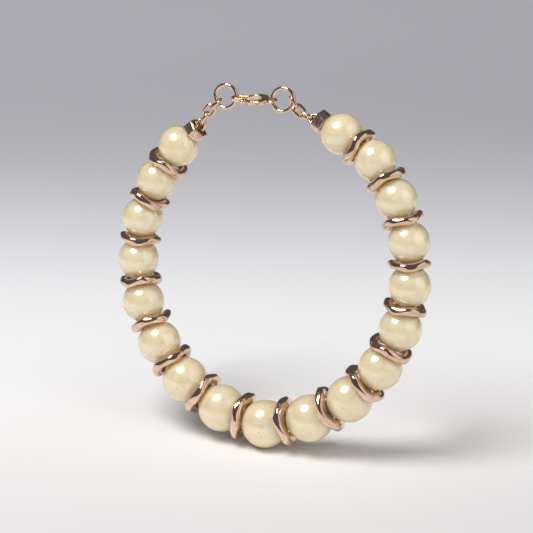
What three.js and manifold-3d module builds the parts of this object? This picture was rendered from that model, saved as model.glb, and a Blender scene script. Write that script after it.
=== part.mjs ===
// Pearl bracelet: a graduated string of pearls with a wavy spacer ring between each pair, closed by
// hexagonal end caps, short cable chains, jump rings and a small claw clasp.
// Lengths are millimetres and angles are degrees. The loop stands upright with its clasp on top:
// +X runs to the right along the loop, +Y to the back and +Z up. The origin is under the clasp's middle.
import * as THREE from 'three';
import { mergeVertices } from 'three/addons/utils/BufferGeometryUtils.js';
import Module from 'manifold-3d';

// Pearls, counted from the right end cap
const PEARLS = 18;
const END_PEARL = 7.85;
const LARGEST_PEARL = 9.3;
const LARGEST_PLACE = 10;
const GRADUATION_SPREAD = 3.1; // pearls to either side over which the large size falls off
const PEARL_GAP = 0.33;
const BORE = 1.4;
const THREAD = 0.35;

// Spacer rings: a rounded band whose middle line waves to and fro
const SPACER_WIDTH = 1.65;
const SPACER_PROUD = 0.1; // how far a ring stands out past its pearls
const SPACER_SEAT = 0.12; // clearance between a ring and the pearls beside it
const SPACER_WAVE = 0.27;
const SPACER_LOBES = 3;
const SPACER_ROUNDING = 0.35;
const SPACER_TURN = 47; // each ring is turned this much further than the one before

// End caps: six-sided cups with a bar across, for the chain's last link
const CAP_SIDES = 6;
const CAP_CORNERS = 4.5;
const CAP_LENGTH = 2.1;
const CAP_WALL = 0.45;
const CAP_FLOOR = 0.75;
const CAP_BEVEL = 0.3;
const CAP_SINK = 0.3; // how far the end pearl sits into the cap's dished floor
const CAP_SEAT = 0.12; // clearance between the dish and the pearl
const THREAD_HOLE = 1;
const BAR_WIRE = 0.5;
const BAR_DEPTH = 0.35; // from the cap's rim to the bar's middle

// Chains
const LINK_LENGTH = 3.15;
const LINK_WIDTH = 2.3;
const LINK_WIRE = 0.6;
const LINK_CLEARANCE = 0.1;

// Jump rings
const JUMP_RING = 5.1;
const JUMP_WIRE = 0.72;
const JUMP_RISE = 8; // each ring's middle is raised by this angle, seen from where it hooks the clasp

// Claw clasp
const CLASP_LENGTH = 9.4;
const CLASP_WIDTH = 4.2;
const CLASP_THICKNESS = 0.82;
const CLASP_BEVEL = 0.15;
const NOSE_WIDTH = 1.8;
const NOSE_WALL = 0.44;
const NOSE_LENGTH = 2.6; // narrow part, from the tip to where the claw flares
const FLARE = 2.3; // from there to the widest place
const FLARE_EASE = 0.6; // share of the flare that each end's curve takes
const RAIL = 0.75;
const BASE = 1.275; // solid metal between the opening and the neck
const NECK_WIDTH = 0.9;
const EYE = 2.2;
const EYE_WIRE = 0.5;
const HOOK_LENGTH = 2.15; // from the tip to the mouth that the lever closes
const KNUCKLE = 1.15;
const KNUCKLE_THICKNESS = 0.3;
const PIN = 0.44;
const PIN_BACK = 1.44; // from the neck to the pin
const PIN_INSET = 0.78; // from the claw's widest line to the pin
const RUNNING_GAP = 0.08;
const LEVER_GAP = 0.13;
const TRIGGER = 1.05;
const TRIGGER_SINK = 0.2; // how far the trigger's round goes into the lever's arm
const WIRE_CLEARANCE = 0.1;

// The loop's pose
const LOOP_LEAN = 10.2; // the top leans to the back
const CLASP_TILT = 3.1; // the eye end is the higher one
const CLASP_ROLL = 18; // the clasp's back edge is the higher one

// Each chain: where it hooks its jump ring, how far its first link slides through and is rolled against
// the loop's plane, the heading of each link and of the cap, and the cap's turn about its own axis
const RIGHT_CHAIN = { contact: -9, slack: 0.45, roll: 55, links: [-50, -41, -17, 0], cap: -30.3, capTurn: 25 };
const LEFT_CHAIN = { contact: 220, slack: 0.12, roll: 70, links: [225, 233, 241, 241], cap: 223, capTurn: -5 };

// The string's path in the loop's plane, from the right end cap to the left one
const STRING_ROUTE = [
  { x: 18.4, z: -3.95 },
  { x: 25.4, z: -8 },
  { x: 33.4, z: -22 },
  { x: 33.3, z: -38.8 },
  { x: 24.6, z: -53.5 },
  { x: 7.2, z: -61.6 },
  { x: -10.2, z: -56 },
  { x: -20.9, z: -41.3 },
  { x: -21.9, z: -24 },
  { x: -15.4, z: -10.4 },
];

// Facets
const PEARL_SIDES = 12;
const PEARL_BANDS = 8;
const SPACER_STEPS = 20;
const ROUND_WIRE_SIDES = 6;
const JUMP_STEPS = 20;
const LINK_STEPS = 14;
const THREAD_STEPS = 72;
const OUTLINE_STEPS = 4;
const PIN_SIDES = 10;
const DISH_SIDES = 20;

const pearl = new THREE.MeshStandardMaterial({ color: 0xefe2bd, roughness: 0.28, metalness: 0 });
const roseGold = new THREE.MeshStandardMaterial({ color: 0xd9a48c, roughness: 0.2, metalness: 1 });
const paleGold = new THREE.MeshStandardMaterial({ color: 0xdfb985, roughness: 0.22, metalness: 1 });
const clearThread = new THREE.MeshStandardMaterial({ color: 0xe8e2d2, roughness: 0.4, metalness: 0 });

const ALONG = new THREE.Vector3(0, 1, 0); // axis of every turned shape before it is placed
const BACK = new THREE.Vector3(0, 1, 0); // normal of the loop's plane
const { degToRad } = THREE.MathUtils;
const wasm = await Module();
wasm.setup();

const numbered = (name, index) => `${name}_${String(index).padStart(2, '0')}`;

// Direction in the loop's plane, as an angle up from +X.
function heading(angle) {
  return new THREE.Vector3(Math.cos(degToRad(angle)), 0, Math.sin(degToRad(angle)));
}

// Turn that lays a shape's Y along a heading in the loop's plane, rolled about it.
function facing(angle, roll) {
  const out = heading(angle);
  const basis = new THREE.Matrix4().makeBasis(new THREE.Vector3().crossVectors(out, BACK), out, BACK);
  return new THREE.Quaternion()
    .setFromRotationMatrix(basis)
    .multiply(new THREE.Quaternion().setFromAxisAngle(ALONG, roll));
}

function namedMesh(name, geometry, material) {
  const mesh = new THREE.Mesh(geometry, material);
  mesh.name = name;
  return mesh;
}

// Sets a turned shape at a point with its axis along a direction.
function place(mesh, point, direction) {
  mesh.position.copy(point);
  mesh.quaternion.setFromUnitVectors(ALONG, direction);
  return mesh;
}

// A closed geometry as a solid that can be joined and cut.
function solid(geometry) {
  const bare = geometry.clone();
  bare.deleteAttribute('normal');
  bare.deleteAttribute('uv');
  const merged = mergeVertices(bare, 1e-4);
  const vertProperties = merged.attributes.position.array;
  const triVerts = merged.index.array;
  return new wasm.Manifold(new wasm.Mesh({ numProp: 3, vertProperties, triVerts }));
}

function geometryOf(body) {
  const { vertProperties, triVerts } = body.getMesh();
  const geometry = new THREE.BufferGeometry();
  geometry.setAttribute('position', new THREE.BufferAttribute(vertProperties, 3));
  geometry.setIndex(new THREE.BufferAttribute(triVerts, 1));
  geometry.computeVertexNormals();
  return geometry;
}

function pearlDiameter(place) {
  const away = (place - LARGEST_PLACE) / GRADUATION_SPREAD;
  return END_PEARL + (LARGEST_PEARL - END_PEARL) * Math.exp(-away * away);
}

// A drilled ball, turned from its outside arc and the wall of its bore.
function pearlGeometry(diameter) {
  const radius = diameter / 2;
  const mouth = Math.asin(BORE / 2 / radius);
  const profile = [];
  for (let i = 0; i <= PEARL_BANDS; i += 1) {
    const angle = mouth + ((Math.PI - 2 * mouth) * i) / PEARL_BANDS;
    profile.push(new THREE.Vector2(radius * Math.sin(angle), -radius * Math.cos(angle)));
  }
  profile.push(profile[0].clone());
  return new THREE.LatheGeometry(profile, PEARL_SIDES);
}

// A wavy band whose bore leaves the seat clearance to the two pearls that it lies between.
function spacerGeometry(pearlSize, turn) {
  const outer = pearlSize / 2 + SPACER_PROUD;
  const reach = SPACER_WIDTH / 2 + SPACER_WAVE + SPACER_SEAT - PEARL_GAP / 2;
  const ball = pearlSize / 2;
  const inner = Math.sqrt(ball * ball - (ball - reach) ** 2);
  const half = SPACER_WIDTH / 2;
  const profile = [
    new THREE.Vector2(inner, -half + SPACER_ROUNDING),
    new THREE.Vector2(inner + SPACER_ROUNDING, -half),
    new THREE.Vector2(outer - SPACER_ROUNDING, -half),
    new THREE.Vector2(outer, 0),
    new THREE.Vector2(outer - SPACER_ROUNDING, half),
    new THREE.Vector2(inner + SPACER_ROUNDING, half),
    new THREE.Vector2(inner, half - SPACER_ROUNDING),
    new THREE.Vector2(inner, -half + SPACER_ROUNDING),
  ];
  const ring = new THREE.LatheGeometry(profile, SPACER_STEPS);
  const at = ring.attributes.position;
  for (let i = 0; i < at.count; i += 1) {
    const around = Math.atan2(at.getZ(i), at.getX(i));
    at.setY(i, at.getY(i) + SPACER_WAVE * Math.cos(SPACER_LOBES * around));
  }
  return ring.rotateY(degToRad(turn));
}

// A wire ring in the XZ plane.
function jumpRingGeometry() {
  const middle = (JUMP_RING - JUMP_WIRE) / 2;
  return new THREE.TorusGeometry(middle, JUMP_WIRE / 2, ROUND_WIRE_SIDES, JUMP_STEPS).rotateX(Math.PI / 2);
}

// A chain link along Y, flat in the YX plane: a wire ring whose two halves are drawn apart.
function linkGeometry() {
  const ends = (LINK_WIDTH - LINK_WIRE) / 2;
  const apart = (LINK_LENGTH - LINK_WIDTH) / 2;
  const link = new THREE.TorusGeometry(ends, LINK_WIRE / 2, ROUND_WIRE_SIDES, LINK_STEPS);
  const at = link.attributes.position;
  for (let i = 0; i < at.count; i += 1) {
    at.setX(i, at.getX(i) + Math.sign(at.getX(i)) * apart);
  }
  return link.rotateZ(Math.PI / 2);
}

// A six-sided cup, open at Y = 0, with the thread's hole in its floor and a bar across its mouth.
function capGeometry(barTurn) {
  const outer = CAP_CORNERS / 2;
  const bore = outer - CAP_WALL / Math.cos(Math.PI / CAP_SIDES);
  const cup = new THREE.LatheGeometry(
    [
      new THREE.Vector2(bore, 0),
      new THREE.Vector2(bore, CAP_LENGTH - CAP_FLOOR),
      new THREE.Vector2(THREAD_HOLE / 2, CAP_LENGTH - CAP_FLOOR),
      new THREE.Vector2(THREAD_HOLE / 2, CAP_LENGTH),
      new THREE.Vector2(outer - CAP_BEVEL, CAP_LENGTH),
      new THREE.Vector2(outer, CAP_LENGTH - CAP_BEVEL),
      new THREE.Vector2(outer, CAP_BEVEL),
      new THREE.Vector2(outer - CAP_BEVEL / 2, 0),
      new THREE.Vector2(bore, 0),
    ].reverse(),
    CAP_SIDES,
  );
  const span = 2 * (outer * Math.cos(Math.PI / CAP_SIDES) - CAP_WALL / 2);
  const bar = new THREE.CylinderGeometry(BAR_WIRE / 2, BAR_WIRE / 2, span, ROUND_WIRE_SIDES);
  bar.rotateZ(Math.PI / 2).rotateY(barTurn).translate(0, BAR_DEPTH, 0);
  return geometryOf(solid(cup).add(solid(bar)));
}

// The clasp's frame: X from nose to eye, Y across and Z through its thickness, with its middle at 0.
const NOSE_X = -CLASP_LENGTH / 2;
const EYE_X = CLASP_LENGTH / 2 - EYE / 2;
const NARROW_X = NOSE_X + NOSE_LENGTH;
const WIDEST_X = NARROW_X + FLARE;
const SHOULDER_X = EYE_X - EYE / 2 + EYE_WIRE / 2;
const HOOK_X = NOSE_X + HOOK_LENGTH;
const PIVOT = new THREE.Vector2(SHOULDER_X - PIN_BACK, PIN_INSET - CLASP_WIDTH / 2);
const MOUTH_END = PIVOT.x - KNUCKLE / 2 - LEVER_GAP;

// Outline of the claw closed by its lever, or of its opening, which is set in by the walls' widths.
function clawOutline(isOpening) {
  const radius = NOSE_WIDTH / 2 - (isOpening ? NOSE_WALL : 0);
  const centre = NOSE_X + NOSE_WIDTH / 2;
  const wide = CLASP_WIDTH / 2 - (isOpening ? RAIL : 0);
  const end = SHOULDER_X - (isOpening ? BASE : 0);
  const endHalf = isOpening ? 0 : NECK_WIDTH / 2;
  const ease = FLARE * FLARE_EASE;
  const fall = (end - WIDEST_X) / 2;
  const outline = new THREE.Shape();
  outline.absarc(centre, 0, radius, Math.PI / 2, (3 * Math.PI) / 2, false);
  outline.lineTo(NARROW_X, -radius);
  outline.bezierCurveTo(NARROW_X + ease, -radius, WIDEST_X - ease, -wide, WIDEST_X, -wide);
  outline.bezierCurveTo(WIDEST_X + fall, -wide, end, -endHalf - fall, end, -endHalf);
  outline.lineTo(end, endHalf);
  outline.bezierCurveTo(end, endHalf + fall, WIDEST_X + fall, wide, WIDEST_X, wide);
  outline.bezierCurveTo(WIDEST_X - ease, wide, NARROW_X + ease, radius, NARROW_X, radius);
  return outline;
}

// A flat plate of an outline, centred on Z = 0, with its edges bevelled.
function plate(outline, thickness, bevel) {
  const depth = thickness - 2 * bevel;
  return new THREE.ExtrudeGeometry(outline, {
    depth,
    bevelEnabled: bevel > 0,
    bevelSize: bevel,
    bevelOffset: -bevel,
    bevelThickness: bevel,
    bevelSegments: 1,
    curveSegments: OUTLINE_STEPS,
  }).translate(0, 0, -depth / 2);
}

function disc(centre, diameter, thickness) {
  const round = new THREE.CylinderGeometry(diameter / 2, diameter / 2, thickness, 2 * PIN_SIDES);
  return solid(round.rotateX(Math.PI / 2).translate(centre.x, centre.y, 0));
}

function block(fromX, toX, fromY, toY, thickness) {
  const box = new THREE.BoxGeometry(toX - fromX, toY - fromY, thickness);
  return solid(box.translate((fromX + toX) / 2, (fromY + toY) / 2, 0));
}

// The whole claw as if its lever were part of it.
function clawRing() {
  const outline = clawOutline(false);
  outline.holes.push(clawOutline(true));
  return solid(plate(outline, CLASP_THICKNESS, CLASP_BEVEL));
}

// The claw without its lever: the mouth is cut away, and a slot takes the lever's knuckle.
function claspBodyGeometry() {
  const below = -CLASP_WIDTH;
  const through = 2 * CLASP_THICKNESS;
  const slot = KNUCKLE_THICKNESS + 2 * RUNNING_GAP;
  const eye = new THREE.TorusGeometry(
    (EYE - EYE_WIRE) / 2, EYE_WIRE / 2, ROUND_WIRE_SIDES, LINK_STEPS,
  ).translate(EYE_X, 0, 0);
  const mouth = block(HOOK_X, MOUTH_END, below, 0, through);
  const knuckleSlot = block(HOOK_X, PIVOT.x, below, PIVOT.y + KNUCKLE / 2 + RUNNING_GAP, slot);
  const body = clawRing()
    .subtract(mouth)
    .subtract(knuckleSlot)
    .subtract(disc(PIVOT, KNUCKLE + 2 * LEVER_GAP, slot))
    .subtract(disc(PIVOT, PIN + 2 * RUNNING_GAP, through))
    .add(solid(eye));
  return geometryOf(body);
}

// The lever: the claw's near rail across the mouth, a trigger on its outside and a thinner knuckle.
function claspLeverGeometry() {
  const below = -CLASP_WIDTH;
  const tip = HOOK_X + LEVER_GAP;
  const armEnd = MOUTH_END - LEVER_GAP;
  const triggerAt = new THREE.Vector2(tip + TRIGGER / 2, TRIGGER_SINK - (NOSE_WIDTH + TRIGGER) / 2);
  const arm = clawRing().intersect(block(tip, armEnd, below, 0, 2 * CLASP_THICKNESS));
  const tang = clawRing()
    .intersect(block(armEnd - RAIL, PIVOT.x, below, PIVOT.y + KNUCKLE / 2, KNUCKLE_THICKNESS))
    .add(disc(PIVOT, KNUCKLE, KNUCKLE_THICKNESS));
  const lever = arm
    .add(tang)
    .add(disc(triggerAt, TRIGGER, CLASP_THICKNESS))
    .subtract(disc(PIVOT, PIN + 2 * RUNNING_GAP, CLASP_THICKNESS));
  return geometryOf(lever);
}

// Closure, built outwards from the clasp at the top of the loop.
const loop = new THREE.Group();
loop.rotation.x = -degToRad(LOOP_LEAN);

const clasp = new THREE.Group();
clasp.position.set(0, 0, CLASP_THICKNESS / 2 / Math.cos(degToRad(CLASP_ROLL)));
clasp.rotation.set(degToRad(CLASP_ROLL), -degToRad(CLASP_TILT), 0, 'YXZ');
clasp.updateMatrix();
const pinShape = new THREE.CylinderGeometry(PIN / 2, PIN / 2, CLASP_THICKNESS, PIN_SIDES);
pinShape.rotateX(Math.PI / 2).translate(PIVOT.x, PIVOT.y, 0);
clasp.add(
  namedMesh('clasp_body', claspBodyGeometry(), paleGold),
  namedMesh('clasp_lever', claspLeverGeometry(), paleGold),
  namedMesh('clasp_pin', pinShape, paleGold),
);
loop.add(clasp);

// One side of the closure: jump ring, chain and end cap. It returns the middle of the cap's face that
// the string of pearls meets, and the middle of the thread's hole behind it.
function closureSide(side, wireX, claspSide, chain) {
  const ringMiddle = (JUMP_RING - JUMP_WIRE) / 2;
  const inside = LINK_LENGTH - 2 * LINK_WIRE;
  const halfPitch = (inside - LINK_CLEARANCE) / 2;
  const wireAt = new THREE.Vector3(wireX, 0, 0).applyMatrix4(clasp.matrix);
  const centre = wireAt.addScaledVector(heading(CLASP_TILT + claspSide * JUMP_RISE), claspSide * ringMiddle);
  const ring = namedMesh(`jump_ring_${side}`, jumpRingGeometry(), paleGold);
  ring.position.copy(centre);
  loop.add(ring);

  // Each link is hooked into the one before it and turned a quarter further.
  const at = centre.clone().addScaledVector(heading(chain.contact), ringMiddle);
  at.addScaledVector(heading(chain.links[0]), -JUMP_WIRE / 2 - LINK_CLEARANCE / 2 - chain.slack);
  let roll = degToRad(chain.roll);
  chain.links.forEach((angle, i) => {
    const link = namedMesh(numbered(`chain_link_${side}`, i + 1), linkGeometry(), paleGold);
    at.addScaledVector(heading(angle), halfPitch);
    link.position.copy(at);
    link.quaternion.copy(facing(angle, roll));
    loop.add(link);
    at.addScaledVector(heading(angle), halfPitch);
    roll += Math.PI / 2;
  });
  const last = heading(chain.links.at(-1));
  const bar = at.addScaledVector(last, -LINK_CLEARANCE / 2 - BAR_WIRE / 2);

  const out = heading(chain.cap);
  const rim = bar.addScaledVector(out, -BAR_DEPTH);
  const turn = degToRad(chain.capTurn);
  const cap = namedMesh(`end_cap_${side}`, capGeometry(roll - turn), roseGold);
  cap.position.copy(rim);
  cap.quaternion.copy(facing(chain.cap, turn));
  loop.add(cap);
  return {
    cap,
    face: rim.clone().addScaledVector(out, CAP_LENGTH),
    hole: rim.clone().addScaledVector(out, CAP_LENGTH - CAP_FLOOR / 2),
  };
}

const noseWire = NOSE_X + NOSE_WALL + WIRE_CLEARANCE + JUMP_WIRE / 2;
const eyeWire = EYE_X + EYE / 2 - EYE_WIRE - WIRE_CLEARANCE - JUMP_WIRE / 2;
const right = closureSide('right', eyeWire, 1, RIGHT_CHAIN);
const left = closureSide('left', noseWire, -1, LEFT_CHAIN);

// The string: its length is the pearls' own, and the path is sized to hold exactly that.
const diameters = Array.from({ length: PEARLS }, (_, i) => pearlDiameter(i + 1));
const stringLength = diameters.reduce((sum, diameter) => sum + diameter + PEARL_GAP, -2 * CAP_SINK - PEARL_GAP);

function pathOfSize(size) {
  const points = STRING_ROUTE.map(({ x, z }) => new THREE.Vector3(x * size, 0, z * size));
  const path = new THREE.CatmullRomCurve3([right.face, ...points, left.face], false, 'centripetal');
  path.arcLengthDivisions = 600;
  return path;
}

function fittedPath(length) {
  let small = 0.2;
  let large = 5;
  while (large - small > 1e-6) {
    const middle = (small + large) / 2;
    if (pathOfSize(middle).getLength() < length) small = middle;
    else large = middle;
  }
  return pathOfSize((small + large) / 2);
}

const path = fittedPath(stringLength);
let walked = -CAP_SINK;
const centres = diameters.map((diameter) => {
  const centre = path.getPointAt((walked + diameter / 2) / stringLength);
  walked += diameter + PEARL_GAP;
  return centre;
});

// Each pearl's bore runs along the line between its two neighbours.
const stops = [right.hole, ...centres, left.hole];
const threadPoints = [right.hole];
const beads = diameters.map((diameter, i) => {
  const centre = centres[i];
  const along = stops[i + 2].clone().sub(stops[i]).normalize();
  loop.add(place(namedMesh(numbered('pearl', i + 1), pearlGeometry(diameter), pearl), centre, along));
  const straight = (diameter - BORE) / 2;
  for (const end of [-straight, 0, straight]) {
    threadPoints.push(centre.clone().addScaledVector(along, end));
  }
  return { centre, diameter };
});

// The floor of each cap is dished for its pearl.
function dish(cap, bead) {
  cap.updateMatrix();
  const middle = bead.centre.clone().applyMatrix4(cap.matrix.clone().invert());
  const ball = new THREE.SphereGeometry(bead.diameter / 2 + CAP_SEAT, DISH_SIDES, DISH_SIDES);
  cap.geometry = geometryOf(solid(cap.geometry).subtract(solid(ball.translate(middle.x, middle.y, middle.z))));
}
dish(right.cap, beads[0]);
dish(left.cap, beads.at(-1));

// Spacer rings, each between two pearls and square to the line through their middles.
for (let i = 1; i < PEARLS; i += 1) {
  const before = beads[i - 1];
  const after = beads[i];
  const along = after.centre.clone().sub(before.centre).normalize();
  const middle = before.centre.clone().addScaledVector(along, (before.diameter + PEARL_GAP) / 2);
  const geometry = spacerGeometry((before.diameter + after.diameter) / 2, i * SPACER_TURN);
  loop.add(place(namedMesh(numbered('spacer_ring', i), geometry, roseGold), middle, along));
}

// Thread: straight through each pearl, bending between them, and ending in the caps' floors.
threadPoints.push(left.hole);
const threadSection = new THREE.Shape().absarc(0, 0, THREAD / 2, 0, 2 * Math.PI, false);
const threadGeometry = new THREE.ExtrudeGeometry(threadSection, {
  steps: THREAD_STEPS,
  curveSegments: ROUND_WIRE_SIDES / 2,
  extrudePath: new THREE.CatmullRomCurve3(threadPoints, false, 'centripetal'),
});
loop.add(namedMesh('stringing_thread', threadGeometry, clearThread));

export default loop;
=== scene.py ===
import math

import bmesh
import bpy
from mathutils import Matrix, Vector


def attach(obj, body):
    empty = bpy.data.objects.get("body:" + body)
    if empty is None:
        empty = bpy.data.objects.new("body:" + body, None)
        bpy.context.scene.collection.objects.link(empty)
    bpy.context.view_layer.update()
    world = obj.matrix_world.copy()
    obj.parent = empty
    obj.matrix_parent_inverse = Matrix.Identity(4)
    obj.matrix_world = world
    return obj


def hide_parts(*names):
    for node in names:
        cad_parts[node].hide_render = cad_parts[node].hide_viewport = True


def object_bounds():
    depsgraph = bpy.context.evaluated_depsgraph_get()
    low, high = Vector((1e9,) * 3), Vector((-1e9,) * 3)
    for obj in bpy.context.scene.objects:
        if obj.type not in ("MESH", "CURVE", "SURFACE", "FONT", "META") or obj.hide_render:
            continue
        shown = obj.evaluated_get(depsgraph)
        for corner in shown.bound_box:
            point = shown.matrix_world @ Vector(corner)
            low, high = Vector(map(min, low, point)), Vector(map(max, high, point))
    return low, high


# Pearl bracelet: eighteen graduated pearls, wavy rose-gold rings between them, hexagonal end caps,
# two short chains, jump rings and a claw clasp. Shapes are modelled in millimetres and settled in metres.

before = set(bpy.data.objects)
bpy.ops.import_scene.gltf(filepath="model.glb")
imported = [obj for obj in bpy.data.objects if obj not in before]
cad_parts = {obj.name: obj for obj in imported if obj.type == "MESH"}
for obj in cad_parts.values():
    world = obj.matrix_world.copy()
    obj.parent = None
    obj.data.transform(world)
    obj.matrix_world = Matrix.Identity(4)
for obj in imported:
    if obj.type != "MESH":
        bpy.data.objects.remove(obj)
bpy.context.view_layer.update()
mm = 0.001
print("frame loaded:", len(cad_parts), "solids")


def hexToLinear(code):
    channels = [int(code[i:i + 2], 16) / 255 for i in (1, 3, 5)]
    return [c / 12.92 if c <= 0.04045 else ((c + 0.055) / 1.055) ** 2.4 for c in channels] + [1.0]


def addNode(tree, kind, values=None, links=None, **settings):
    node = tree.nodes.new(kind)
    for name, value in settings.items():
        setattr(node, name, value)
    for socket, value in (values or {}).items():
        node.inputs[socket].default_value = value
    for socket, source in (links or {}).items():
        tree.links.new(source, node.inputs[socket])
    return node


def startMaterial(name):
    material = bpy.data.materials.new(name)
    material.use_nodes = True
    tree = material.node_tree
    tree.nodes.clear()
    return material, tree


def endMaterial(tree, shader):
    addNode(tree, "ShaderNodeOutputMaterial", links={"Surface": shader.outputs[0]})


def setRamp(node, stops):
    ramp = node.color_ramp
    while len(ramp.elements) > 1:
        ramp.elements.remove(ramp.elements[-1])
    for i, (position, colour) in enumerate(stops):
        element = ramp.elements[0] if i == 0 else ramp.elements.new(position)
        element.position = position
        element.color = hexToLinear(colour)


def selectNothing():
    for other in bpy.context.selected_objects:
        other.select_set(False)


def selectOnly(piece):
    selectNothing()
    bpy.context.view_layer.objects.active = piece
    piece.select_set(True)


def openEdit(piece, mode="VERT"):
    selectOnly(piece)
    bpy.ops.object.mode_set(mode="EDIT")
    bpy.ops.mesh.select_mode(type=mode)
    return bmesh.from_edit_mesh(piece.data)


def selectVerts(shape, wanted):
    for vert in shape.verts:
        vert.select_set(bool(wanted(vert.co)))
    shape.select_flush_mode()


def closeEdit():
    bpy.ops.object.mode_set(mode="OBJECT")


def mergeAndTurnOut(distance=0.0005):
    # joins doubled points and turns the faces outwards, in edit mode
    bpy.ops.mesh.select_all(action="SELECT")
    bpy.ops.mesh.remove_doubles(threshold=distance)
    bpy.ops.mesh.normals_make_consistent(inside=False)


def applyModifier(piece, kind, **settings):
    selectOnly(piece)
    modifier = piece.modifiers.new(kind.lower(), kind)
    for name, value in settings.items():
        setattr(modifier, name, value)
    bpy.ops.object.modifier_apply(modifier=modifier.name)


def roundEdges(piece, width, steps, sharperThan=50):
    applyModifier(piece, "BEVEL", width=width, segments=steps, limit_method="ANGLE",
                  angle_limit=math.radians(sharperThan))


def carve(piece, tool, operation):
    applyModifier(piece, "BOOLEAN", object=tool, operation=operation, solver="EXACT")
    bpy.data.objects.remove(tool)


def copyOf(piece, name):
    twin = piece.copy()
    twin.data = piece.data.copy()
    twin.name = name
    bpy.context.collection.objects.link(twin)
    return twin


def settle(piece, place, smoothAngle=35):
    # a finished shape in millimetres goes to its place, and its object stays at the origin
    piece.matrix_world = Matrix.Scale(mm, 4) @ place @ piece.matrix_world
    selectOnly(piece)
    bpy.ops.object.transform_apply(location=True, rotation=True, scale=True)
    bpy.ops.object.shade_smooth_by_angle(angle=math.radians(smoothAngle))


def finishPiece(piece, name, body, node, material):
    piece.name = name
    piece.data.name = name
    piece.data.materials.clear()
    piece.data.materials.append(material)
    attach(piece, body)
    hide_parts(node)


def spanAlong(node, direction):
    reach = [vert.co.dot(direction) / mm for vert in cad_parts[node].data.vertices]
    return min(reach), max(reach)


def middleOf(node, turn=None):
    # middle of a solid's reach along three square directions, in millimetres
    turn = turn or Matrix.Identity(3)
    return sum((turn.col[i] * sum(spanAlong(node, turn.col[i])) / 2 for i in range(3)), Vector())


# The loop stands upright and leans back; the clasp lies across it and is rolled a little.
pose = {
    "lean": -10.2,
    "claspTilt": -3.1,
    "claspRoll": 18,
}
# Headings of the links and of the cap in the loop's plane, and turns about them, in degrees
chains = {
    "right": {"roll": 55, "links": (-50, -41, -17, 0), "cap": -30.3, "capTurn": 25},
    "left": {"roll": 70, "links": (225, 233, 241, 241), "cap": 223, "capTurn": -5},
}
leanTurn = Matrix.Rotation(math.radians(pose["lean"]), 4, "X")
lean3 = leanTurn.to_3x3()
alongY = Vector((0, 1, 0))


def facing(angle, roll):
    # turn that lays Y along a heading in the loop's plane, rolled about it
    out = Vector((math.cos(math.radians(angle)), 0, math.sin(math.radians(angle))))
    upright = Matrix((out.cross(alongY), out, alongY)).transposed().to_4x4()
    return upright @ Matrix.Rotation(math.radians(roll), 4, "Y")


pearlCount = 18
pearlNames = [f"pearl_{i:02d}" for i in range(1, pearlCount + 1)]
ringNames = [f"spacer_ring_{i:02d}" for i in range(1, pearlCount)]
pearlMiddles = [middleOf(name) for name in pearlNames]
pearlWidths = [
    2 * max((vert.co / mm - middle).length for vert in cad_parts[name].data.vertices)
    for name, middle in zip(pearlNames, pearlMiddles)
]


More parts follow.
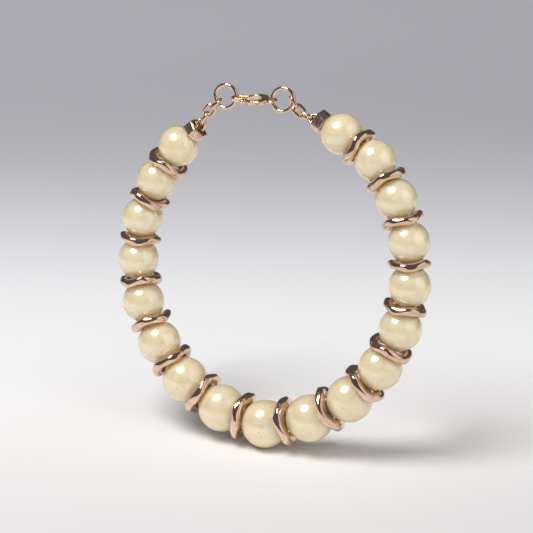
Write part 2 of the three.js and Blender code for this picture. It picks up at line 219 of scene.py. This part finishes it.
def makePearlMaterial():
    # Imitation pearl: acrylic beads dipped in pearl lacquer. It gives a creamy body with a soft inner
    # glow, a silky broad sheen under a sharp lacquer highlight, and yellower rims.
    look = {
        "cream": "#efe4cc",
        "butter": "#e9dab6",
        "fleck": "#f9f1da",
        "cloudMm": 2.2,
        "speckleMm": 0.3,
        "fleckMm": 0.16,
        "gloss": (0.17, 0.25),
        "grain": 0.1,
        "grainMm": 0.01,
        "ior": 2.6,  # the lacquer's pearl flakes reflect more than clear acrylic
        "glowMm": 3.0,
        "glow": (1.0, 0.8, 0.4),
        "coatGloss": 0.1,
        "coatIor": 1.4,
        "coatTint": "#fefbf2",
        "sheen": 0.25,
        "sheenSpread": 0.3,
        "sheenTint": "#f8dc80",
    }
    # worn and dirty spots of the lacquer: middle and radius in millimetres, and colour
    marks = [
        ((24.56, -13.84, -52.72), 0.36, "#c9b48c"),
        ((24.56, -13.84, -52.72), 0.2, "#f4ecd8"),
        ((-10.02, -14.18, -54.7), 0.13, "#8a6a3c"),
        ((-10.6, -13.84, -52.72), 0.2, "#fff8e8"),
        ((7.94, -15.41, -60.08), 0.15, "#b8945c"),
        ((16.7, -14.87, -58.25), 0.12, "#b8945c"),
        ((-21.45, -10.69, -38.56), 0.11, "#c0a068"),
        ((10.2, -14.0, -61.68), 0.12, "#c0a068"),
    ]
    material, tree = startMaterial("lacquered acrylic pearl")
    where = addNode(tree, "ShaderNodeTexCoord").outputs["Object"]
    cloud = addNode(tree, "ShaderNodeTexNoise", {"Scale": 1 / (look["cloudMm"] * mm), "Detail": 3.0},
                    {"Vector": where})
    speckle = addNode(tree, "ShaderNodeTexNoise", {"Scale": 1 / (look["speckleMm"] * mm), "Detail": 3.0},
                      {"Vector": where})
    mottle = addNode(tree, "ShaderNodeMath", {0: 0.9},
                     {1: speckle.outputs["Fac"], 2: cloud.outputs["Fac"]}, operation="MULTIPLY_ADD")
    tone = addNode(tree, "ShaderNodeValToRGB", links={"Fac": mottle.outputs[0]})
    setRamp(tone, [(0.72, look["butter"]), (1.0, look["cream"])])
    flecks = addNode(tree, "ShaderNodeTexVoronoi",
                     {"Scale": 1 / (look["fleckMm"] * mm), "Randomness": 1.0}, {"Vector": where})
    fleckArea = addNode(tree, "ShaderNodeMapRange",
                        {"From Min": 0.12, "From Max": 0.3, "To Min": 0.5, "To Max": 0.0},
                        {"Value": flecks.outputs["Distance"]})
    colour = addNode(tree, "ShaderNodeMix", {"B": hexToLinear(look["fleck"])},
                     {"Factor": fleckArea.outputs["Result"], "A": tone.outputs["Color"]}, data_type="RGBA")
    out = colour.outputs["Result"]
    for middle, radius, stain in marks:
        apart = addNode(tree, "ShaderNodeVectorMath", {1: Vector(middle) * mm}, {0: where},
                        operation="DISTANCE")
        area = addNode(tree, "ShaderNodeMapRange",
                       {"From Min": 0.6 * radius * mm, "From Max": radius * mm, "To Min": 1.0, "To Max": 0.0},
                       {"Value": apart.outputs["Value"]})
        colour = addNode(tree, "ShaderNodeMix", {"B": hexToLinear(stain)},
                         {"Factor": area.outputs["Result"], "A": out}, data_type="RGBA")
        out = colour.outputs["Result"]
    gloss = addNode(tree, "ShaderNodeMapRange",
                    {"From Min": 0.3, "From Max": 0.7,
                     "To Min": look["gloss"][0], "To Max": look["gloss"][1]},
                    {"Value": speckle.outputs["Fac"]})
    relief = addNode(tree, "ShaderNodeBump", {"Strength": look["grain"], "Distance": look["grainMm"] * mm},
                     {"Height": speckle.outputs["Fac"]})
    shader = addNode(tree, "ShaderNodeBsdfPrincipled",
                     {"IOR": look["ior"], "Subsurface Weight": 1.0, "Subsurface Radius": look["glow"],
                      "Subsurface Scale": look["glowMm"] * mm, "Coat Weight": 1.0,
                      "Coat Roughness": look["coatGloss"], "Coat IOR": look["coatIor"],
                      "Coat Tint": hexToLinear(look["coatTint"]), "Sheen Weight": look["sheen"],
                      "Sheen Roughness": look["sheenSpread"], "Sheen Tint": hexToLinear(look["sheenTint"])},
                     {"Base Color": out, "Roughness": gloss.outputs["Result"],
                      "Normal": relief.outputs["Normal"]})
    endMaterial(tree, shader)
    return material


def makeMetalMaterial(name, look):
    # Plated brass, tumbled and polished: clear reflections that wander a little, with fine wear
    # that dulls the gloss in places. The caps' plate is more worn, so its faces look mottled.
    material, tree = startMaterial(name)
    where = addNode(tree, "ShaderNodeTexCoord").outputs["Object"]
    wander = addNode(tree, "ShaderNodeTexNoise", {"Scale": 1 / (look["wanderMm"] * mm), "Detail": 2.0},
                     {"Vector": where})
    grain = addNode(tree, "ShaderNodeTexNoise", {"Scale": 1 / (look["grainMm"] * mm), "Detail": 3.0},
                    {"Vector": where})
    tone = addNode(tree, "ShaderNodeValToRGB", links={"Fac": wander.outputs["Fac"]})
    setRamp(tone, [(0.3, look["deep"]), (0.7, look["light"])])
    gloss = addNode(tree, "ShaderNodeMapRange",
                    {"From Min": 0.3, "From Max": 0.7,
                     "To Min": look["gloss"][0], "To Max": look["gloss"][1]},
                    {"Value": grain.outputs["Fac"]})
    soft = addNode(tree, "ShaderNodeBump", {"Strength": look["wander"], "Distance": 0.05 * mm},
                   {"Height": wander.outputs["Fac"]})
    fine = addNode(tree, "ShaderNodeBump", {"Strength": look["grain"], "Distance": 0.01 * mm},
                   {"Height": grain.outputs["Fac"], "Normal": soft.outputs["Normal"]})
    shader = addNode(tree, "ShaderNodeBsdfPrincipled", {"Metallic": 1.0},
                     {"Base Color": tone.outputs["Color"], "Roughness": gloss.outputs["Result"],
                      "Normal": fine.outputs["Normal"]})
    endMaterial(tree, shader)
    return material


def makeThreadMaterial():
    # Braided nylon stringing thread: a dull off-white strand with a slanting twist, whose grooves are painted
    # darker as painted shade
    look = {
        "pale": "#efeadb",
        "shade": "#cfc8b6",
        "twistMm": 0.5,
        "reliefMm": 0.03,
        "gloss": 0.6,
        "ior": 1.53,
    }
    material, tree = startMaterial("braided nylon thread")
    where = addNode(tree, "ShaderNodeTexCoord").outputs["Object"]
    twist = addNode(tree, "ShaderNodeTexWave", {"Scale": 1 / (look["twistMm"] * mm), "Distortion": 1.5},
                    {"Vector": where}, bands_direction="DIAGONAL")
    # painted shade: the twist's low grooves get the darker colour
    tone = addNode(tree, "ShaderNodeValToRGB", links={"Fac": twist.outputs["Fac"]})
    setRamp(tone, [(0.2, look["shade"]), (0.8, look["pale"])])
    relief = addNode(tree, "ShaderNodeBump", {"Strength": 0.5, "Distance": look["reliefMm"] * mm},
                     {"Height": twist.outputs["Fac"]})
    shader = addNode(tree, "ShaderNodeBsdfPrincipled", {"Roughness": look["gloss"], "IOR": look["ior"]},
                     {"Base Color": tone.outputs["Color"], "Normal": relief.outputs["Normal"]})
    endMaterial(tree, shader)
    return material


pearlLacquer = makePearlMaterial()
roseGold = makeMetalMaterial("polished rose gold plate", {
    "light": "#f0d4bd", "deep": "#dfbca2", "gloss": (0.07, 0.15),
    "wanderMm": 1.3, "wander": 0.55, "grainMm": 0.22, "grain": 0.3})
wornGold = makeMetalMaterial("worn rose gold plate", {
    "light": "#f0d4bd", "deep": "#c9a58c", "gloss": (0.16, 0.36),
    "wanderMm": 0.8, "wander": 0.9, "grainMm": 0.3, "grain": 0.9})
paleGold = makeMetalMaterial("polished pale gold plate", {
    "light": "#f6d9b8", "deep": "#e9c49c", "gloss": (0.08, 0.17),
    "wanderMm": 0.9, "wander": 0.2, "grainMm": 0.2, "grain": 0.2})
nylonThread = makeThreadMaterial()
print("materials made")


pearls = {
    "segments": 72,
    "rings": 44,
    "bore": 1.4,
    "boreCorners": 12,  # corners round each mouth of a packed bead's hole
}


def modelPearl(diameter):
    # a ball with its two poles cut off at the bore's mouth, and the bore's wall between them
    radius = diameter / 2
    mouth = math.sqrt(radius ** 2 - (pearls["bore"] / 2) ** 2)
    bpy.ops.mesh.primitive_uv_sphere_add(segments=pearls["segments"], ring_count=pearls["rings"],
                                         radius=radius)
    bead = bpy.context.object
    openEdit(bead, "EDGE")
    for side in (1, -1):
        bpy.ops.mesh.select_all(action="SELECT")
        bpy.ops.mesh.bisect(plane_co=(0, 0, side * mouth), plane_no=(0, 0, side), clear_outer=True)
    shape = bmesh.from_edit_mesh(bead.data)
    for edge in shape.edges:
        edge.select_set(edge.is_boundary)
    bpy.ops.mesh.bridge_edge_loops()
    mergeAndTurnOut()
    closeEdit()
    return bead


def boreDirection(i):
    # the drilled hole's direction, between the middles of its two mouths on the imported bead
    middle = pearlMiddles[i]
    corners = [vert.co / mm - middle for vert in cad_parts[pearlNames[i]].data.vertices]
    guess = pearlMiddles[min(i + 1, pearlCount - 1)] - pearlMiddles[max(i - 1, 0)]
    near = sorted(corners, key=lambda corner: -corner.dot(guess))[:pearls["boreCorners"]]
    far = sorted(corners, key=lambda corner: corner.dot(guess))[:pearls["boreCorners"]]
    return (sum(near, Vector()) - sum(far, Vector())).normalized()


for i, node in enumerate(pearlNames):
    selectNothing()
    bead = modelPearl(pearlWidths[i])
    turn = Vector((0, 0, 1)).rotation_difference(boreDirection(i)).to_matrix().to_4x4()
    settle(bead, Matrix.Translation(pearlMiddles[i]) @ turn, smoothAngle=45)
    finishPiece(bead, f"pearl_bead_{i + 1:02d}", "bracelet", node, pearlLacquer)
print("pearls done")


spacer = {
    "width": 1.65,
    "proud": 0.1,  # how far the ring stands out past the pearls
    "seat": 0.12,
    "pearlGap": 0.33,
    "wave": 0.27,
    "lobes": 3,
    "turnEach": 47,  # degrees from one ring's wave to the next ring's
    "innerRound": 0.15,
    "innerSteps": 3,
    "outerRound": 0.78,
    "outerSteps": 9,
    "twist": 0.18,  # how far the crown leans to and fro, twice in a wave
    "steps": 144,
}


def modelSpacer(pearlSize):
    outer = pearlSize / 2 + spacer["proud"]
    reach = spacer["width"] / 2 + spacer["wave"] + spacer["seat"] - spacer["pearlGap"] / 2
    inner = math.sqrt((pearlSize / 2) ** 2 - (pearlSize / 2 - reach) ** 2)
    bpy.ops.mesh.primitive_plane_add(size=1)
    band = bpy.context.object
    shape = openEdit(band)
    for vert in shape.verts:
        vert.co.x = outer if vert.co.x > 0 else inner
        vert.co.y *= spacer["width"]
    bmesh.update_edit_mesh(band.data)
    bpy.ops.mesh.select_all(action="SELECT")
    bpy.ops.mesh.delete(type="ONLY_FACE")
    for edge, rounding, steps in ((outer, spacer["outerRound"], spacer["outerSteps"]),
                                  (inner, spacer["innerRound"], spacer["innerSteps"])):
        shape = bmesh.from_edit_mesh(band.data)
        selectVerts(shape, lambda co: abs(co.x - edge) < 1e-4)
        bpy.ops.mesh.bevel(affect="VERTICES", offset=rounding, segments=steps)
    bpy.ops.mesh.select_all(action="SELECT")
    bpy.ops.mesh.spin(steps=spacer["steps"], angle=2 * math.pi, center=(0, 0, 0), axis=(0, 1, 0))
    mergeAndTurnOut()
    shape = bmesh.from_edit_mesh(band.data)
    for vert in shape.verts:  # the band goes to and fro, and its crown leans one way and the other
        around = math.atan2(vert.co.z, vert.co.x)
        radius = math.hypot(vert.co.x, vert.co.z)
        crown = min(1, max(0, (radius - inner) / (outer - inner)))
        across = 2 * vert.co.y / spacer["width"]
        lean = spacer["twist"] * across * math.sin(2 * spacer["lobes"] * around + across)
        vert.co.x *= 1 + crown * lean / radius
        vert.co.z *= 1 + crown * lean / radius
        vert.co.y += spacer["wave"] * math.cos(spacer["lobes"] * around)
    bmesh.update_edit_mesh(band.data)
    closeEdit()
    return band


for i, node in enumerate(ringNames):
    selectNothing()
    band = modelSpacer((pearlWidths[i] + pearlWidths[i + 1]) / 2)
    apart = (pearlMiddles[i + 1] - pearlMiddles[i]).normalized()
    turn = alongY.rotation_difference(lean3.inverted() @ apart).to_matrix().to_4x4()
    turn = turn @ Matrix.Rotation(math.radians(spacer["turnEach"] * (i + 1)), 4, "Y")
    middle = pearlMiddles[i] + apart * (pearlWidths[i] + spacer["pearlGap"]) / 2
    settle(band, Matrix.Translation(middle) @ leanTurn @ turn)
    finishPiece(band, f"wavy_ring_{i + 1:02d}", "bracelet", node, roseGold)
print("spacer rings done")


cap = {
    "corners": 4.5,
    "length": 2.1,
    "wall": 0.45,
    "floor": 0.75,
    "seat": 0.12,
    "threadHole": 1.0,
    "edge": 0.22,
    "hollowStep": 0.25,
    "hollowStepDepth": 0.1,
    "barWire": 0.5,
    "barDepth": 0.35,
}


def modelCap(barTurn):
    # six-sided cup along Y, open at Y = 0
    bpy.ops.mesh.primitive_cylinder_add(vertices=6, radius=cap["corners"] / 2, depth=cap["length"],
                                        location=(0, cap["length"] / 2, 0),
                                        rotation=(math.radians(-90), 0, 0))
    cup = bpy.context.object
    bpy.ops.object.transform_apply(location=True, rotation=True, scale=True)
    roundEdges(cup, cap["edge"], 2, sharperThan=30)
    shape = openEdit(cup, "FACE")
    for face in shape.faces:
        face.select_set(face.normal.y < -0.99)
    bpy.ops.mesh.inset(thickness=cap["wall"] - cap["edge"], depth=0)
    bpy.ops.mesh.extrude_region_move(TRANSFORM_OT_translate={"value": (0, cap["length"] - cap["floor"], 0)})
    bpy.ops.mesh.inset(thickness=cap["hollowStep"], depth=cap["hollowStepDepth"])
    closeEdit()
    bpy.ops.mesh.primitive_cylinder_add(vertices=40, radius=cap["threadHole"] / 2, depth=3 * cap["floor"],
                                        location=(0, cap["length"], 0), rotation=(math.radians(90), 0, 0))
    carve(cup, bpy.context.object, "DIFFERENCE")
    span = 2 * (cap["corners"] / 2 * math.cos(math.pi / 6) - cap["wall"] / 2)
    bpy.ops.mesh.primitive_cylinder_add(vertices=24, radius=cap["barWire"] / 2, depth=span,
                                        rotation=(0, math.radians(90), 0))
    bar = bpy.context.object
    bar.matrix_world = (Matrix.Translation((0, cap["barDepth"], 0)) @ Matrix.Rotation(barTurn, 4, "Y")
                        @ bar.matrix_world)
    carve(cup, bar, "UNION")
    return cup


linkCount = 4
for side, bead in (("right", 0), ("left", pearlCount - 1)):
    selectNothing()
    chain = chains[side]
    cup = modelCap(math.radians(chain["roll"] + 90 * linkCount - chain["capTurn"]))
    axes = leanTurn @ facing(chain["cap"], chain["capTurn"])
    node = f"end_cap_{side}"
    along = axes.to_3x3().col[1]
    middle = middleOf(node, axes.to_3x3())
    place = Matrix.Translation(middle + along * (spanAlong(node, along)[0] - middle.dot(along))) @ axes
    bpy.ops.mesh.primitive_uv_sphere_add(segments=64, ring_count=40,
                                         radius=pearlWidths[bead] / 2 + cap["seat"],
                                         location=place.inverted() @ pearlMiddles[bead])
    carve(cup, bpy.context.object, "DIFFERENCE")
    settle(cup, place, smoothAngle=20)
    finishPiece(cup, f"hex_cap_{side}", "bracelet", node, wornGold)
print("end caps done")


link = {"length": 3.15, "width": 2.3, "wire": 0.6}
jumpRing = {"outside": 5.1, "wire": 0.72}


def modelLink():
    # a wire ring in the XY plane whose two halves are drawn apart along Y
    bpy.ops.mesh.primitive_torus_add(major_segments=40, minor_segments=16, minor_radius=link["wire"] / 2,
                                     major_radius=(link["width"] - link["wire"]) / 2)
    oval = bpy.context.object
    apart = (link["length"] - link["width"]) / 2
    for side in (1, -1):
        shape = openEdit(oval)
        selectVerts(shape, lambda co: co.y * side > 1e-3)
        bpy.ops.transform.translate(value=(0, side * apart, 0))
        closeEdit()
    return oval


firstLink = modelLink()
for side in ("right", "left"):
    for i in range(linkCount):
        node = f"chain_link_{side}_{i + 1:02d}"
        oval = copyOf(firstLink, node + "_wire")
        axes = leanTurn @ facing(chains[side]["links"][i], chains[side]["roll"] + 90 * i)
        settle(oval, Matrix.Translation(middleOf(node, axes.to_3x3())) @ axes, smoothAngle=60)
        finishPiece(oval, node + "_wire", "bracelet", node, paleGold)
    selectNothing()
    bpy.ops.mesh.primitive_torus_add(major_segments=72, minor_segments=18, minor_radius=jumpRing["wire"] / 2,
                                     major_radius=(jumpRing["outside"] - jumpRing["wire"]) / 2,
                                     rotation=(math.radians(90), 0, 0))
    wire = bpy.context.object
    node = f"jump_ring_{side}"
    settle(wire, Matrix.Translation(middleOf(node, lean3)) @ leanTurn, smoothAngle=60)
    finishPiece(wire, node + "_wire", "bracelet", node, paleGold)
bpy.data.objects.remove(firstLink)
print("chains and jump rings done")


claw = {
    "length": 9.4,
    "width": 4.2,
    "thickness": 0.82,
    "noseWidth": 1.8,
    "noseWall": 0.44,
    "noseLength": 2.6,
    "flare": 2.3,
    "flareEase": 0.6,
    "rail": 0.75,
    "base": 1.275,
    "neck": 0.9,
    "eye": 2.2,
    "eyeWire": 0.5,
    "hook": 2.15,
    "knuckle": 1.15,
    "knuckleThickness": 0.3,
    "pin": 0.44,
    "pinBack": 1.44,
    "pinInset": 0.78,
    "runningGap": 0.08,
    "leverGap": 0.13,
    "trigger": 1.05,
    "triggerSink": 0.2,
    "triggerRound": 0.3,
    "rounding": 0.27,
    "pinRound": 0.06,
    "innerPoint": 0.02,  # half width of the opening's pointed end
    "arcSteps": 24,
    "curveSteps": 18,
}
noseX = -claw["length"] / 2
eyeX = claw["length"] / 2 - claw["eye"] / 2
narrowX = noseX + claw["noseLength"]
widestX = narrowX + claw["flare"]
shoulderX = eyeX - claw["eye"] / 2 + claw["eyeWire"] / 2
hookX = noseX + claw["hook"]
pivot = Vector((shoulderX - claw["pinBack"], claw["pinInset"] - claw["width"] / 2, 0))
mouthEnd = pivot.x - claw["knuckle"] / 2 - claw["leverGap"]


def clawLoop(inner):
    # points round the claw, or round its opening, matched one to one
    radius = claw["noseWidth"] / 2 - (claw["noseWall"] if inner else 0)
    centre = noseX + claw["noseWidth"] / 2
    wide = claw["width"] / 2 - (claw["rail"] if inner else 0)
    end = shoulderX - (claw["base"] if inner else 0)
    endHalf = claw["innerPoint"] if inner else claw["neck"] / 2
    ease = claw["flare"] * claw["flareEase"]
    fall = (end - widestX) / 2
    points = []
    for i in range(claw["arcSteps"]):
        angle = math.pi / 2 + math.pi * i / claw["arcSteps"]
        points.append((centre + radius * math.cos(angle), radius * math.sin(angle)))
    points.append((centre, -radius))
    curves = [
        ((narrowX, -radius), (narrowX + ease, -radius), (widestX - ease, -wide), (widestX, -wide)),
        ((widestX, -wide), (widestX + fall, -wide), (end, -endHalf - fall), (end, -endHalf)),
        ((end, endHalf), (end, endHalf + fall), (widestX + fall, wide), (widestX, wide)),
        ((widestX, wide), (widestX - ease, wide), (narrowX + ease, radius), (narrowX, radius)),
    ]
    for a, b, c, d in curves:  # each one a cubic curve between its first and last point
        for i in range(claw["curveSteps"]):
            t = i / claw["curveSteps"]
            s = 1 - t
            points.append(tuple(s ** 3 * a[k] + 3 * s * s * t * b[k] + 3 * s * t * t * c[k] + t ** 3 * d[k]
                                for k in (0, 1)))
        if b[1] < 0 and d[0] == end:
            points.append(d)
    points.append((narrowX, radius))
    return points


def modelClawRing(thickness, rounding):
    outside, inside = clawLoop(False), clawLoop(True)
    selectNothing()
    bpy.ops.mesh.primitive_circle_add(vertices=len(outside), radius=1)
    ring = bpy.context.object
    shape = openEdit(ring, "EDGE")
    shape.verts.ensure_lookup_table()
    for vert, point in zip(shape.verts, outside):
        vert.co = (point[0], point[1], 0)
    bmesh.update_edit_mesh(ring.data)
    bpy.ops.mesh.select_all(action="SELECT")
    bpy.ops.mesh.extrude_edges_move()
    shape = bmesh.from_edit_mesh(ring.data)
    shape.verts.ensure_lookup_table()
    for vert in shape.verts[len(outside):]:  # each new point goes in from the old point that it came from
        old = next(edge.other_vert(vert) for edge in vert.link_edges
                   if edge.other_vert(vert).index < len(outside))
        vert.co = (*inside[old.index], 0)
    bmesh.update_edit_mesh(ring.data)
    closeEdit()
    applyModifier(ring, "SOLIDIFY", thickness=thickness, offset=0)
    openEdit(ring)
    mergeAndTurnOut()
    closeEdit()
    if rounding:
        roundEdges(ring, rounding, 5)
    return ring


def addDisc(centre, diameter, thickness, sides=48):
    bpy.ops.mesh.primitive_cylinder_add(vertices=sides, radius=diameter / 2, depth=thickness, location=centre)
    return bpy.context.object


def addBlock(fromX, toX, fromY, toY, thickness):
    bpy.ops.mesh.primitive_cube_add(size=1, location=((fromX + toX) / 2, (fromY + toY) / 2, 0),
                                    scale=(toX - fromX, toY - fromY, thickness))
    return bpy.context.object


below = -claw["width"]
through = 2 * claw["thickness"]
gap = claw["runningGap"]
slotHeight = claw["knuckleThickness"] + 2 * gap

# the body: the whole claw without the lever's stretch, with a slot and a hole for the knuckle and its pin
body = modelClawRing(claw["thickness"], claw["rounding"])
carve(body, addBlock(hookX, mouthEnd, below, 0, through), "DIFFERENCE")
carve(body, addBlock(hookX, pivot.x, below, pivot.y + claw["knuckle"] / 2 + gap, slotHeight), "DIFFERENCE")
carve(body, addDisc(pivot, claw["knuckle"] + 2 * claw["leverGap"], slotHeight), "DIFFERENCE")
carve(body, addDisc(pivot, claw["pin"] + 2 * gap, through), "DIFFERENCE")
bpy.ops.mesh.primitive_torus_add(major_segments=48, minor_segments=16, minor_radius=claw["eyeWire"] / 2,
                                 major_radius=(claw["eye"] - claw["eyeWire"]) / 2, location=(eyeX, 0, 0))
carve(body, bpy.context.object, "UNION")

# the lever: the same claw's missing stretch, with a tang that ends in the knuckle, and a trigger knob
tip = hookX + claw["leverGap"]
armEnd = mouthEnd - claw["leverGap"]
lever = modelClawRing(claw["thickness"], claw["rounding"])
carve(lever, addBlock(tip, armEnd, below, 0, through), "INTERSECT")
tang = modelClawRing(claw["thickness"], 0)
carve(tang, addBlock(armEnd - claw["rail"], pivot.x, below, pivot.y + claw["knuckle"] / 2,
                     claw["knuckleThickness"]), "INTERSECT")
carve(lever, tang, "UNION")
carve(lever, addDisc(pivot, claw["knuckle"], claw["knuckleThickness"]), "UNION")
triggerY = claw["triggerSink"] - (claw["noseWidth"] + claw["trigger"]) / 2
knob = addDisc((tip + claw["trigger"] / 2, triggerY, 0), claw["trigger"], claw["thickness"])
roundEdges(knob, claw["triggerRound"], 5)
carve(lever, knob, "UNION")
carve(lever, addDisc(pivot, claw["pin"] + 2 * gap, through), "DIFFERENCE")

pin = addDisc(pivot, claw["pin"], claw["thickness"], 32)
roundEdges(pin, claw["pinRound"], 3)

claspRise = claw["thickness"] / 2 / math.cos(math.radians(pose["claspRoll"]))
claspPlace = (leanTurn
              @ Matrix.Translation((0, 0, claspRise))
              @ Matrix.Rotation(math.radians(pose["claspTilt"]), 4, "Y")
              @ Matrix.Rotation(math.radians(pose["claspRoll"]), 4, "X"))
for piece, name, bodyName, node in ((body, "claw_body", "bracelet", "clasp_body"),
                                    (lever, "claw_lever", "lever", "clasp_lever"),
                                    (pin, "claw_pin", "bracelet", "clasp_pin")):
    settle(piece, claspPlace, smoothAngle=40)
    finishPiece(piece, name, bodyName, node, paleGold)
print("clasp done")


# the thread is hidden by the pearls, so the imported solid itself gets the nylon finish
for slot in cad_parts["stringing_thread"].material_slots:
    slot.material = nylonThread
print("thread done")


stage = {
    "clearance": 0.05,  # between the lowest pearl and the paper
    "floorSize": 6,
    "fibreMm": 0.8,
    "fibreReliefMm": 0.02,
    "gloss": 0.75,
    "dimRoom": "#59585e",
    # painted light falloff: the paper's colour by how far it lies behind the bracelet, in millimetres along
    # the view, stands in for how the lamps' light and shade fall across it
    "paintedFalloffTones": ((-900, "#e6e4e5"), (-300, "#e0dedf"), (-48, "#dedddd"), (-20, "#eeedec"), (0, "#f4f3f2"),
              (33, "#fbfbfb"), (72, "#f7f8f8"), (116, "#e2e3e8"), (168, "#c8c8cd"), (229, "#c4c4ca"),
              (304, "#d5d5db"), (382, "#e4e4ea"), (500, "#e4e4ea")),
}
view = {
    "azimuth": 25.3219,
    "elevation": 19.6987,
    "roll": -0.2507,
    "place": (178.046, -371.158, 114.539),
    "focalPx": 2269.05,
    "imagePx": 533,
    "sensorMm": 36,
    "lookAt": (7, -6.3, -34.7),
}
lights = [  # direction is right, up and towards the camera
    {"name": "key_softbox", "direction": (-0.39, 0.74, 0.51), "distance": 0.62, "size": (0.32, 0.32),
     "power": 3.0, "colour": "#ffffff"},
    {"name": "front_fill", "direction": (0.12, 0.45, 0.88), "distance": 0.95, "size": (1.4, 1.0),
     "power": 4.1, "colour": "#fffcf8", "isSeen": False},
    {"name": "right_panel", "direction": (0.84, 0.22, 0.5), "distance": 0.75, "size": (0.85, 1.0),
     "power": 1.6, "colour": "#fffdfb"},
]
heading = math.radians(view["azimuth"])
dip = math.radians(view["elevation"])
forward = Vector((-math.sin(heading) * math.cos(dip), math.cos(heading) * math.cos(dip), -math.sin(dip)))
rightward = forward.cross(Vector((0, 0, 1))).normalized()
upward = rightward.cross(forward)


def makeFloorMaterial():
    # Matt paper sweep with painted light falloff: pale near the bracelet, falling to a painted cool grey
    # shade behind it
    material, tree = startMaterial("matt paper")
    where = addNode(tree, "ShaderNodeTexCoord").outputs["Object"]
    level = Vector((forward.x, forward.y, 0)).normalized()
    depth = addNode(tree, "ShaderNodeVectorMath", {1: level}, {0: where}, operation="DOT_PRODUCT")
    nearest, farthest = stage["paintedFalloffTones"][0][0], stage["paintedFalloffTones"][-1][0]
    fade = addNode(tree, "ShaderNodeMapRange", {"From Min": nearest * mm, "From Max": farthest * mm},
                   {"Value": depth.outputs["Value"]})
    # painted light and shade: the paper's colour follows depth in place of the lamps' falloff
    tone = addNode(tree, "ShaderNodeValToRGB", links={"Fac": fade.outputs["Result"]})
    tone.color_ramp.interpolation = "B_SPLINE"
    setRamp(tone, [((at - nearest) / (farthest - nearest), colour) for at, colour in stage["paintedFalloffTones"]])
    fibre = addNode(tree, "ShaderNodeTexNoise", {"Scale": 1 / (stage["fibreMm"] * mm), "Detail": 3.0},
                    {"Vector": where})
    relief = addNode(tree, "ShaderNodeBump", {"Strength": 0.05, "Distance": stage["fibreReliefMm"] * mm},
                     {"Height": fibre.outputs["Fac"]})
    shader = addNode(tree, "ShaderNodeBsdfPrincipled", {"Roughness": stage["gloss"]},
                     {"Base Color": tone.outputs["Color"], "Normal": relief.outputs["Normal"]})
    endMaterial(tree, shader)
    return material


visualBox = [list(corner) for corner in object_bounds()]

selectNothing()
bpy.ops.mesh.primitive_plane_add(size=stage["floorSize"],
                                 location=(0, 0, visualBox[0][2] - stage["clearance"] * mm))
floor = bpy.context.object
floor.name = "floor"
bpy.ops.object.transform_apply(location=True, rotation=True, scale=True)
floor.data.materials.append(makeFloorMaterial())

cameraData = bpy.data.cameras.new("camera")
cameraData.sensor_width = view["sensorMm"]
cameraData.lens = view["sensorMm"] * view["focalPx"] / view["imagePx"]
cameraData.clip_start = 0.01
cameraData.clip_end = 20
camera = bpy.data.objects.new("camera", cameraData)
bpy.context.collection.objects.link(camera)
cameraRoll = Matrix.Rotation(math.radians(view["roll"]), 3, "Z")
axes = Matrix((rightward, upward, -forward)).transposed() @ cameraRoll
camera.matrix_world = Matrix.Translation(Vector(view["place"]) * mm) @ axes.to_4x4()
bpy.context.scene.camera = camera


def addSoftbox(name, direction, distance, size, power, colour, isSeen=True):
    aim = (rightward * direction[0] + upward * direction[1] - forward * direction[2]).normalized()
    light = bpy.data.lights.new(name, "AREA")
    light.shape = "ELLIPSE"
    light.size, light.size_y = size[0], size[1]
    light.energy = power
    light.color = hexToLinear(colour)[:3]
    lamp = bpy.data.objects.new(name, light)
    bpy.context.collection.objects.link(lamp)
    lamp.matrix_world = (Matrix.Translation(Vector(view["lookAt"]) * mm + aim * distance)
                         @ aim.to_track_quat("Z", "Y").to_matrix().to_4x4())
    lamp.visible_glossy = isSeen  # a fill is so soft and large that polished metal doesn't show it


for light in lights:
    addSoftbox(**light)

world = bpy.data.worlds.new("studio")
bpy.context.scene.world = world
world.use_nodes = True
background = world.node_tree.nodes["Background"]
background.inputs["Color"].default_value = hexToLinear(stage["dimRoom"])
background.inputs["Strength"].default_value = 1.0
bpy.context.scene.view_settings.view_transform = "Standard"
print("stage, lights and camera done")
